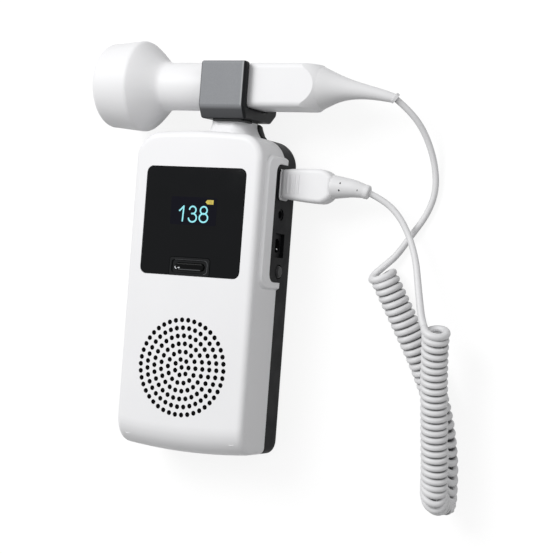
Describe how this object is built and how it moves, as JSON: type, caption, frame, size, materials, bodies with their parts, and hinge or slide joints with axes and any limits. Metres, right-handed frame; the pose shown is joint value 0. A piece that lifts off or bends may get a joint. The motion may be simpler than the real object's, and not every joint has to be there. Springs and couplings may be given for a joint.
{
  "type": "fetal doppler monitor",
  "caption": "Handheld fetal doppler with a display window, a round speaker grille, side sockets, a probe in an open clip and a curly cord from the probe to a plug.",
  "frame": {"origin": "centre of the hand unit's flat back", "axes": "+Z out of the front face, +Y towards the probe clip, +X towards the socket side"},
  "size_m": [0.1789, 0.1992, 0.0414],
  "materials": {
    "white_shell": "semi gloss",
    "dark_shell": "satin",
    "lens_black": "gloss",
    "button_black": "gloss",
    "button_dark": "satin",
    "clip_grey": "satin",
    "probe_white": "gloss",
    "probe_window": "satin",
    "cord_white": "satin",
    "display_panel": "gloss",
    "inner_plastic": "matte",
    "board_green": "satin",
    "steel": "satin",
    "bright_steel": "polished",
    "brass_pin": "polished",
    "cell_jacket": "satin",
    "magnet_iron": "satin",
    "cone_paper": "matte",
    "mesh_grey": "matte",
    "crystal": "matte"
  },
  "bodies": {
    "main": {"front_case": "white_shell", "rear_case": "dark_shell", "display_window": "lens_black", "power_button_frame": "lens_black", "dc_jack": "inner_plastic", "dc_jack_pin": "brass_pin", "headphone_jack": "inner_plastic", "probe_holder": "clip_grey", "display_module": "display_panel", "display_carrier": "inner_plastic", "main_circuit_board": "board_green", "power_switch": "inner_plastic", "port_circuit_board": "board_green", "side_switch": "inner_plastic", "usb_socket": "bright_steel", "usb_socket_tongue": "inner_plastic", "speaker_mesh": "mesh_grey", "speaker_frame": "steel", "speaker_cone": "cone_paper", "speaker_magnet": "magnet_iron", "battery_cells": "cell_jacket", "battery_contacts": "bright_steel", "battery_springs": "bright_steel", "case_screws": "steel", "board_screws": "steel", "probe_cord": "cord_white", "coil_cord": "cord_white"},
    "power_button": {"power_button": "button_black"},
    "side_button": {"side_button": "button_dark"},
    "battery_door": {"battery_door": "dark_shell"},
    "probe": {"probe_housing": "probe_white", "probe_face": "probe_window", "probe_crystals": "crystal", "probe_backing": "inner_plastic", "probe_circuit_board": "board_green", "probe_strain_relief": "cord_white"},
    "plug": {"plug_housing": "probe_white", "plug_shell": "bright_steel", "plug_insulator": "inner_plastic", "plug_strain_relief": "cord_white", "plug_cord": "cord_white"}
  },
  "joints": [
    {"name": "power_button_press", "type": "slide", "parent": "main", "child": "power_button", "axis": [0, 0, -1], "range_m": [0, 0.0004], "stiffness_N_per_m": 1500},
    {"name": "side_button_press", "type": "slide", "parent": "main", "child": "side_button", "axis": [-1, 0, 0], "range_m": [0, 0.0005], "stiffness_N_per_m": 1500},
    {"name": "battery_door_slide", "type": "slide", "parent": "main", "child": "battery_door", "axis": [0, -1, 0], "range_m": [0, 0.06]},
    {"name": "probe_lift", "type": "slide", "parent": "main", "child": "probe", "axis": [0, 1, 0], "range_m": [0, 0.04]},
    {"name": "plug_pull", "type": "slide", "parent": "main", "child": "plug", "axis": [1, 0, 0], "range_m": [0, 0.012]}
  ]
}
